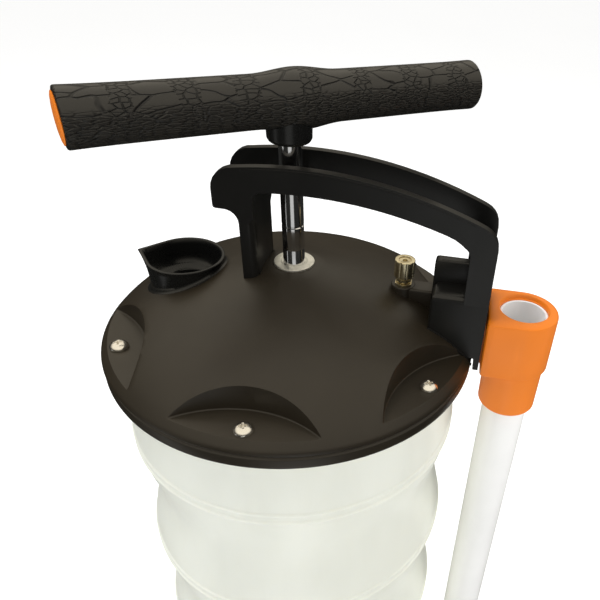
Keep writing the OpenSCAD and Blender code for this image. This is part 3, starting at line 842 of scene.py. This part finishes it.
class EXTRACTOR_OT_spout(BuildPiece, bpy.types.Operator):
    """Pouring spout with a pointed lip and a rolled rim"""

    bl_idname = "extractor.spout"
    bl_label = "Spout"

    def build(self, sizes):
        count = 72

        def ring(height, radius, lip, centre=SPOUT_X):
            """A circle drawn out by lip millimetres to a point on the side away from the pump."""
            points = []
            reach = radius + lip
            meet = math.acos(min(1, radius / reach))
            for k in range(count):
                angle = FULL_TURN * k / count
                off = abs(math.pi - angle)
                far = radius
                if off < meet:
                    far = radius / math.cos(meet - off)
                x, y = far * math.cos(angle), far * math.sin(angle)
                points.append((centre + x, y, LID + height))
            return points

        rings = [
            ring(31.0, 19.6, 0.2), ring(36.0, 19.8, 1.6), ring(42.0, 20.1, 3.8),
            ring(47.6, 20.3, 5.4), ring(49.4, 20.4, 5.7), ring(49.9, 20.8, 5.8),
            ring(50.6, 20.85, 5.9), ring(50.95, 20.4, 5.8), ring(50.95, 19.6, 5.5),
            ring(50.4, 19.0, 5.2), ring(47.6, 18.6, 5.0), ring(42.0, 18.2, 3.2),
            ring(37.5, 17.4, 1.3), ring(36.0, 15.5, 0.4), ring(35.2, 12.6, 0.01),
            ring(34.0, 12.0, 0.01), ring(15.0, 12.0, 0.01), ring(15.0, 14.4, 0.01),
            ring(31.0, 14.4, 0.01),
        ]
        spout = lofted("pour_spout_bowl", rings, 50)

        def on_dome(radius, lift):
            """A circle round the spout that follows the lid's dome."""
            points = []
            for k in range(count):
                angle = FULL_TURN * k / count
                x, y = SPOUT_X + radius * math.cos(angle), radius * math.sin(angle)
                points.append((x, y, LID + dome(math.hypot(x, y)) + lift))
            return points

        root = lofted("spout_root", [
            on_dome(21.9, -0.6), on_dome(22.0, 0.05), on_dome(21.3, 0.35), on_dome(20.7, 0.9),
            on_dome(20.4, 1.9), on_dome(19.7, 2.0), on_dome(19.7, -0.6)], 60)
        spout = join("pour_spout_bowl", spout, root)
        hand_over(spout, "tank_and_lid", "spout_plastic", "spout", "pour_spout")


class EXTRACTOR_OT_carry_handle(BuildPiece, bpy.types.Operator):
    """Carrying handle: two arched rails with a hook, a webbed post and a leg with its block"""

    bl_idname = "extractor.carry_handle"
    bl_label = "Carrying handle"

    def rail_pairs(self):
        """Edge pairs (lower, upper) of one rail, from the hook's nose round to the leg's foot."""
        nose = arc(-23.5, rail_top(-23.5) - 12, 12, 180, 90, 6)
        hook_low = [(-35.5, 90.7), (-35.1, 89.8), (-34, 89.4), (-32.8, 89.4), (-31.4, 89.4)]
        hook_low += arc(-30, 82.4, 7, 90, 0, 6) + [(-15.5, 82.4)]
        hook_low += [(-15.5, 94), (-14.7, 97.6), (-12, rail_top(-12) - 13)]
        upper = nose + [
            (x, rail_top(x)) for x in (-22.3, -21.2, -20, -19, -18, -16.8, -15.2, -14, -12)]
        pairs = list(zip(hook_low, upper))
        for x in range(-6, 79, 6):
            pairs.append(((x, rail_top(x) - 13), (x, rail_top(x))))
        inner = [(81, 89.7), (85, 88.1), (88.2, 86.1)] + arc(87.1, 78.7, 6.5, 60, 0, 5)
        inner += [(93.6, 50), (93.6, 20), (103.9, 17), (103.9, 9.6)]
        outer = [(84, rail_top(84)), (90, rail_top(90)), (95.5, rail_top(95.5))]
        outer += arc(94.95, rail_top(95) - 13, 12, 68, 0, 5)
        outer += [(106.95, 50), (106.95, 20), (106.95, 15), (106.95, 9.6)]
        return pairs + list(zip(inner, outer))

    def rail(self, name, low, high):
        rail = plate(name, self.rail_pairs(), low, high)

        def over_post(edge):
            ends = [v.co / MM for v in edge.verts]
            return all(abs(e.z - LID - 82.4) < 0.01 and -23.1 < e.x < -15.4 for e in ends)
        select_where(over_post, "EDGE")
        bpy.ops.mesh.extrude_region_move(TRANSFORM_OT_translate={"value": (0, 0, -35.4 * MM)})
        thicken(high - low)
        round_edges(
            lambda m, along: abs(m.y) > 15.9 and abs(m.x + 15.5) < 0.1 and m.z < 80, 3.0, 5)
        tidy_mesh()
        soften(rail, self.edge, 3, 50)
        bead_y = low - 0.15 if low < 0 else high - 0.35
        pairs = [((x, rail_top(x) - 1.9), (x, rail_top(x) - 0.9)) for x in range(-20, 97, 6)]
        bead = plate(name + "_bead", pairs, bead_y, bead_y + 0.5)
        thicken(0.5)
        tidy_mesh()
        soften(bead, 0.18 * MM, 2, 50)
        return join(name, rail, bead)

    def seam(self, name, x_low, x_high, y_low, y_high):
        """A thin bead along the lid's dome where the handle stands on it."""
        pairs = []
        steps = 10
        for k in range(steps + 1):
            x = x_low + (x_high - x_low) * k / steps
            top = dome(math.hypot(x, (y_low + y_high) / 2 if y_low * y_high > 0 else y_high))
            pairs.append(((x, top - 1.2), (x, top + 0.7)))
        seam = plate(name, pairs, y_low, y_high)
        thicken(y_high - y_low)
        tidy_mesh()
        return soften(seam, 0.3 * MM, 2, 50)

    def build(self, sizes):
        self.edge = sizes.edge
        near = self.rail("near_rail", -16.0, -11.7)
        far = self.rail("far_rail", 11.7, 16.0)
        web = block("web", (-22.8, -12.2, LID + 47), (-16.2, 12.2, LID + 99))
        tidy_mesh()
        soften(web, 0.5 * MM, 2, 40)
        face = block("web_face", (-17.5, -12.6, LID + 46), (-15.5, 12.6, LID + 98.5))
        tidy_mesh()
        seams = [self.seam("post_seam", -15.4, -14.7, -13.2, 13.2),
                 self.seam("foot_seam", 76.0, 103.0, -16.7, -15.9),
                 self.seam("far_foot_seam", 76.0, 103.0, 15.9, 16.7)]
        foot = block("foot_block", (76.2, -16.05, LID + 17.5), (106.6, 16.05, LID + 56))
        round_edges(lambda m, along: m.z > 55 and abs(along.x) > 0.9, 5.0, 6)
        round_edges(lambda m, along: m.x < 76.3 and abs(along.z) > 0.9, 1.4, 3)
        tidy_mesh(40)
        tongue = block("tongue", (76.2, -3.0, LID + 50), (102.7, 3.0, LID + 69))
        round_edges(lambda m, along: m.x < 77 and m.z > 68 and abs(along.y) > 0.9, 3.2, 5)
        round_edges(lambda m, along: m.z > 68.9 or (m.x < 76.3), 0.7, 3)
        tidy_mesh(40)
        wall = block("end_wall", (104, -12.2, LID + 9.7), (106.6, 12.2, LID + 80))
        tidy_mesh()
        soften(wall, 0.5 * MM, 2, 40)
        handle = join("carrying_handle", near, far, web, face, foot, tongue, wall, *seams)
        hand_over(handle, "tank_and_lid", "handle_plastic", "handle", "carry_handle")


class EXTRACTOR_OT_rod(BuildPiece, bpy.types.Operator):
    """Plated pump rod with its marking grooves, and the guide bush with its flange"""

    bl_idname = "extractor.rod"
    bl_label = "Pump rod and bush"

    def build(self, sizes):
        groove = []
        for z, deep in ((64.5, 0.16), (78.0, 0.4)):
            groove += [(5.75, z - 0.6), (5.75 - deep, z - 0.25), (5.75 - deep, z + 0.25),
                       (5.75, z + 0.6)]
        rod = turned(
            "plated_rod",
            [(3.2, -239), (3.9, -238), (3.95, -214.1), (5.75, -213.9)] + groove
            + [(5.75, 130.8), (4.0, 131), (4.0, 146.4), (3.4, 147)], 64, closed=False)
        hand_over(rod, "rod_and_tee", "rod_chrome", "chrome", "pump_rod")
        bush = turned(
            "guide_bush",
            rounded([(5.85, 43.6), (9.4, 43.6), (9.4, 55.02), (10.9, 55.06), (10.9, 56.1, 0.35),
                     (7.2, 56.2, 0.2), (6.6, 55.7, 0.2), (5.85, 55.6)], True, 3), 96)
        hand_over(bush, "tank_and_lid", "bush_metal", "bush", "rod_guide_bush")


class EXTRACTOR_OT_tee_handle(BuildPiece, bpy.types.Operator):
    """Tee handle: smooth collar and core, grained grip with its boss, and orange end caps"""

    bl_idname = "extractor.tee_handle"
    bl_label = "Tee handle"

    def build(self, sizes):
        axis = GRIP_AXIS
        half = 99.6
        aside = 4.4
        rise = 1.4

        def lying(piece):
            """Lays a piece modelled upright on the axis down along the grip."""
            centre = (0, 0, (LID + axis) * MM)
            turn_piece(piece, "Y", math.pi / 2, centre)
            piece.data.transform(Matrix.Translation((aside * MM, 0, 0)))
            return turn_piece(piece, "Z", GRIP_TURN, centre)

        def girth(s):
            boss = 2.1 * (1 + math.cos(math.pi * s / 22)) / 2 if abs(s) < 22 else 0
            return 11.9 + boss + 0.45 * (abs(s) / half) ** 8

        body = [(girth(s), axis + s) for s in [-98 + 2.8 * k for k in range(71)]]
        outline = [(9.1, axis - half + 0.2), (11.0, axis - half)]
        outline += [(11.9, axis - half + 0.25), (12.25, axis - half + 0.8)] + body
        outline += [(12.25, axis + half - 0.8), (11.9, axis + half - 0.25)]
        outline += [(11.0, axis + half), (9.1, axis + half - 0.2)]
        grip = lying(turned("grained_grip", outline, 96, angle=60))
        hole = turned("collar_room", [(11.3, 118), (11.3, axis - 6)], 64, closed=False)
        cut(grip, hole)
        hand_over(grip, "rod_and_tee", "grip_rubber", "grip", "handle_grip")
        collar = turned(
            "tee_collar",
            rounded([(5.85, 122.0), (9.9, 122.0, 0.9), (10.9, 123.6, 1.6), (11.15, 134.8),
                     (5.85, 134.8)], True, 5), 72)
        core = lying(turned(
            "core", rounded([(5.0, axis - 94), (9.0, axis - 94, 0.5), (9.0, axis + 94, 0.5),
                             (5.0, axis + 94)], True, 3), 48))
        shaft = turned("core_bore", [(5.9, 110), (5.9, axis + 12)], 48, closed=False)
        cut(core, shaft)
        hand_over(join("tee_collar", collar, core), "rod_and_tee", "spout_plastic", "spout",
                  "tee_core")
        for side, word in ((-1, "left"), (1, "right")):
            cap = turned(
                "end_cap_" + word,
                [(r, axis + side * (half + up)) for r, up in (
                    (0.4, rise), (3.5, rise - 0.05), (6.5, rise - 0.2), (9.0, rise - 0.5),
                    (10.2, rise - 0.85), (10.5, 0.3), (10.4, 0.06), (9.0, 0.06), (8.9, -3.7),
                    (0.4, -3.7))],
                64, closed=False)
            hand_over(lying(cap), "rod_and_tee", "orange_plastic", "orange",
                      "grip_end_cap_" + word)


class EXTRACTOR_OT_release_valve(BuildPiece, bpy.types.Operator):
    """Brass release valve: threaded stem, hexagon nut and fluted knob"""

    bl_idname = "extractor.release_valve"
    bl_label = "Release valve"

    def build(self, sizes):
        at = (59.5, 8)
        stem_line = [(1.6, 27.2), (3.4, 27.2), (3.4, 46.4)]
        for k in range(4):
            z = 46.6 + k * 0.8
            stem_line += [(3.4, z), (2.95, z + 0.3), (3.4, z + 0.6)]
        stem_line += [(3.2, 49.9), (2.5, 49.95), (1.7, 48.2)]
        stem = turned("valve_stem", stem_line, 40, at)
        hand_over(stem, "tank_and_lid", "brass", "brass", "release_valve_body")
        nut = turned("valve_nut", [(3.45, 45.6), (5.3, 45.6), (5.3, 47.0), (3.45, 47.0)], 6, at)
        soften(nut, 0.3 * MM, 2, 40)
        washer = turned(
            "valve_washer", rounded([(3.5, 44.6), (5.6, 44.6), (5.6, 45.6, 0.2), (3.5, 45.6)],
                                    True, 2), 48, at)
        hand_over(join("valve_nut", nut, washer), "tank_and_lid", "brass", "brass",
                  "release_valve_nut")
        knob = turned(
            "release_knob",
            rounded([(3.6, 47.5), (4.2, 47.5, 0.2), (4.5, 49.8), (5.7, 51.0, 0.5),
                     (5.7, 60.9, 0.5), (3.4, 60.95, 0.3), (3.2, 60.3), (1.3, 60.25, 0.1),
                     (1.2, 59.2), (0.3, 59.2)], False, 3), 120, at, closed=False)
        bpy.context.view_layer.objects.active = knob
        flute = turned("flute", [(0.85, 50.4), (0.95, 52), (0.95, 62)], 20, closed=False)
        flutes = copies_round(flute, sizes.flutes, 6.25, 0)
        for one in flutes:
            start_clean()
            bpy.context.view_layer.objects.active = one
            one.select_set(True)
            bpy.ops.transform.translate(value=(at[0] * MM, at[1] * MM, 0))
            bpy.ops.object.transform_apply(location=True, rotation=False, scale=False)
        cut(knob, *flutes)
        soften(knob, 0.12 * MM, 2, 40)
        hand_over(knob, "knob", "brass", "brass", "release_valve_knob")


class EXTRACTOR_OT_tube_holder(BuildPiece, bpy.types.Operator):
    """Orange tube holder: D-shaped block over a round socket, with a bevelled hole"""

    bl_idname = "extractor.tube_holder"
    bl_label = "Tube holder"

    def build(self, sizes):
        count, centre, half, back = 96, 127.5, 19.5, 108.0

        def d_ring(height, shrink=0.0):
            """The block's outline, drawn from the same number of rays as a circle's."""
            points = []
            corner = 2.0
            for k in range(count):
                angle = FULL_TURN * k / count
                x, y = math.cos(angle), math.sin(angle)
                if x >= 0:
                    far = half - shrink
                else:
                    reach = min(
                        (centre - back - shrink) / -x if x < -1e-9 else 1e9,
                        (half - shrink) / abs(y) if abs(y) > 1e-9 else 1e9)
                    far = reach
                    flat = Vector((x * reach, y * reach))
                    edge_x = -(centre - back - shrink) + corner
                    edge_y = half - shrink - corner
                    if flat.x < edge_x and abs(flat.y) > edge_y:
                        pivot = Vector((edge_x, math.copysign(edge_y, flat.y)))
                        away = flat - pivot
                        flat = pivot + away.normalized() * corner
                        points.append((centre + flat.x, flat.y, LID + height))
                        continue
                points.append((centre + x * far, y * far, LID + height))
            return points

        def circle(height, radius, aside=0.0):
            return [
                (128.0 + radius * math.cos(FULL_TURN * k / count),
                 aside + radius * math.sin(FULL_TURN * k / count), LID + height)
                for k in range(count)
            ]

        rings = [
            d_ring(8.05, 1.2), d_ring(8.3, 0.4), d_ring(9.1), d_ring(42.0), d_ring(42.9, 0.35),
            d_ring(43.45, 1.4), circle(43.45, 14.6, 1.7), circle(43.2, 14.1, 1.7),
            circle(42.4, 13.6, 1.7), circle(41.3, 13.3, 1.6), circle(41.15, 13.6),
            circle(-20.1, 13.6), circle(-21.4, 14.8), circle(-21.4, 16.0), circle(-20.3, 16.95),
            circle(6.4, 17.2), circle(8.0, 17.7),
        ]
        holder = lofted("tube_holder_body", rings, 40)
        pad = block("holder_pad", (106.95, -12, LID + 12), (109, 12, LID + 36))
        tidy_mesh()
        hand_over(join("tube_holder_body", holder, pad), "tank_and_lid", "orange_plastic",
                  "orange", "tube_holder")


class EXTRACTOR_OT_storage_tube(BuildPiece, bpy.types.Operator):
    """White storage tube, closed at its foot"""

    bl_idname = "extractor.storage_tube"
    bl_label = "Storage tube"

    def build(self, sizes):
        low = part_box("storage_tube")[0].z / MM
        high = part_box("storage_tube")[1].z / MM
        tube = turned(
            "white_storage_tube",
            [(0.5, low)] + rounded(
                [(10, low), (13.4, low, 3.0), (13.45, high, 0.4), (12.0, high, 0.4),
                 (12.0, low + 3, 2.0), (1, low + 3)], False, 4) + [(0.5, low + 3)],
            72, (128, 0), base=0, closed=False)
        hand_over(tube, "tank_and_lid", "tube_plastic", "tube", "storage_tube")


class EXTRACTOR_OT_inner_parts(BuildPiece, bpy.types.Operator):
    """Finishes on the pieces that keep their engineered shape"""

    bl_idname = "extractor.inner_parts"
    bl_label = "Inner parts"

    def build(self, sizes):
        finishes = {
            "milky_plastic": "milky", "lid_plastic": "lid", "handle_plastic": "handle",
            "spout_plastic": "spout", "orange_plastic": "orange", "tube_plastic": "tube",
            "cylinder_plastic": "cylinder", "grip_rubber": "grip", "black_rubber": "rubber",
            "rod_chrome": "chrome", "bush_metal": "bush", "screw_steel": "screw",
            "brass": "brass",
        }
        for row in frame["record"]["subparts"]:
            node = frame["nodes"][row["node"]]
            finish = finish_named(finishes[row["material_slot"]])
            if not node.material_slots:
                node.data.materials.append(finish)
            for slot in node.material_slots:
                slot.material = finish


# ---------------------------------------------------------------- stage


class EXTRACTOR_OT_studio(bpy.types.Operator):
    """Pale floor and surroundings, soft lights and the camera"""

    bl_idname = "extractor.studio"
    bl_label = "Studio"
    bl_options = {"REGISTER", "UNDO"}

    def soft_light(self, name, place, aim, size, power, colour=(1, 1, 1)):
        bpy.ops.object.light_add(type="AREA", location=place)
        light = bpy.context.object
        light.name = name
        light.data.shape = "RECTANGLE"
        light.data.size, light.data.size_y = size
        light.data.energy = power
        light.data.color = colour
        light.visible_glossy = False
        light.rotation_euler = (Vector(aim) - Vector(place)).to_track_quat("-Z", "Y").to_euler()

    def execute(self, context):
        settings = context.scene.extractor_studio
        start_clean()
        bpy.ops.mesh.primitive_plane_add(size=12, location=(0, 0, 0))
        floor = name_piece("studio_floor")
        pale = Finish("studio_floor")
        veil = pale.noise(pale.place(), 2, 2, 0.5)
        x, y, _ = pale.split(pale.place())
        bearing = x.sum("ARCTAN2", y, x)
        front = bearing.band(-1.66, -1.60) * (1 - bearing.band(-1.10, -1.00))
        side = bearing.band(-2.75, -2.65) * (1 - bearing.band(-2.50, -2.40))
        mirrored = pale.node("ShaderNodeLightPath", output=3)
        lit = pale.node("ShaderNodeBsdfPrincipled", None, {
            "Base Color": pale.mixed(veil, (0.90, 0.90, 0.89), (0.93, 0.93, 0.92)),
            "Roughness": 0.9, "Specular IOR Level": 0.1,
            "Emission Color": (1, 1, 1, 1), "Emission Strength": 0.36})
        card = pale.node("ShaderNodeEmission", None, {
            "Color": pale.mixed(front + side, (0.02, 0.02, 0.018), (0.60, 0.60, 0.58))})
        mix = pale.node("ShaderNodeMixShader", None, {0: mirrored, 1: lit, 2: card})
        pale.node("ShaderNodeOutputMaterial", None, {"Surface": mix})
        floor.data.materials.append(pale.material)

        world = bpy.data.worlds.new("pale_surroundings")
        context.scene.world = world
        air = Finish("pale_surroundings", world)
        seen = air.node("ShaderNodeLightPath", output=0)
        mirrored = air.node("ShaderNodeLightPath", output=3)
        _, _, height = air.split(air.node("ShaderNodeTexCoord", output=0))
        glow = height.band(0.15, 0.60) * settings.gloss + 0.06
        strength = seen + (1 - seen) * (mirrored * glow + (1 - mirrored) * settings.sky)
        backdrop = air.node("ShaderNodeBackground", None, {
            "Color": air.mixed(mirrored, (1.0, 1.0, 1.0), (1.0, 0.92, 0.76)),
            "Strength": strength})
        air.node("ShaderNodeOutputWorld", None, {"Surface": backdrop})

        centre = (0, 0, 0.37)
        self.soft_light("overhead", (-0.35, 0.25, 1.25), centre, (0.9, 0.9), settings.key)
        self.soft_light("right_side", (1.1, -0.25, 0.75), centre, (0.5, 0.9), settings.fill,
                        (1.0, 0.97, 0.93))
        self.soft_light("left_front", (-0.9, -0.9, 0.7), centre, (0.5, 0.8), settings.fill * 0.7,
                        (0.96, 0.98, 1.0))

        bpy.ops.object.camera_add(
            location=(83.7 * MM, -293.8 * MM, (LID + 229.8) * MM),
            rotation=(math.radians(53.48), math.radians(-5.04), math.radians(5.57)))
        camera = bpy.context.object
        camera.name = "studio_camera"
        camera.data.lens = settings.lens
        camera.data.sensor_width = 36
        camera.data.shift_x = -0.205
        camera.data.shift_y = 0.068
        camera.data.clip_start = 0.01
        context.scene.camera = camera
        context.scene.view_settings.view_transform = "Standard"
        return {"FINISHED"}


class EXTRACTOR_PT_panel(bpy.types.Panel):
    """Builds the extractor piece by piece"""

    bl_label = "Vacuum fluid extractor"
    bl_idname = "EXTRACTOR_PT_panel"
    bl_space_type = "VIEW_3D"
    bl_region_type = "UI"
    bl_category = "Extractor"

    def draw(self, context):
        for group in ("extractor_sizes", "extractor_colours", "extractor_studio"):
            settings = getattr(context.scene, group)
            for key in settings.bl_rna.properties.keys():
                if key not in ("rna_type", "name"):
                    self.layout.prop(settings, key)
        for operator in OPERATORS:
            self.layout.operator(operator.bl_idname)


OPERATORS = (
    EXTRACTOR_OT_studio,
    EXTRACTOR_OT_inner_parts,
    EXTRACTOR_OT_tank,
    EXTRACTOR_OT_lid,
    EXTRACTOR_OT_lid_screws,
    EXTRACTOR_OT_spout,
    EXTRACTOR_OT_carry_handle,
    EXTRACTOR_OT_rod,
    EXTRACTOR_OT_tee_handle,
    EXTRACTOR_OT_release_valve,
    EXTRACTOR_OT_tube_holder,
    EXTRACTOR_OT_storage_tube,
)
GROUPS = {
    "extractor_sizes": ExtractorSizes,
    "extractor_colours": ExtractorColours,
    "extractor_studio": StudioSettings,
}


def register():
    for name, group in GROUPS.items():
        bpy.utils.register_class(group)
        setattr(bpy.types.Scene, name, bpy.props.PointerProperty(type=group))
    for operator in OPERATORS:
        bpy.utils.register_class(operator)
    bpy.utils.register_class(EXTRACTOR_PT_panel)


def unregister():
    bpy.utils.unregister_class(EXTRACTOR_PT_panel)
    for operator in reversed(OPERATORS):
        bpy.utils.unregister_class(operator)
    for name, group in GROUPS.items():
        delattr(bpy.types.Scene, name)
        bpy.utils.unregister_class(group)


def main():
    register()
    bpy.ops.extractor.studio()
    bpy.ops.extractor.inner_parts()
    bpy.ops.extractor.tank()
    bpy.ops.extractor.lid()
    bpy.ops.extractor.lid_screws()
    bpy.ops.extractor.spout()
    bpy.ops.extractor.carry_handle()
    bpy.ops.extractor.rod()
    bpy.ops.extractor.tee_handle()
    bpy.ops.extractor.release_valve()
    bpy.ops.extractor.tube_holder()
    bpy.ops.extractor.storage_tube()


if __name__ == "__main__":
    main()
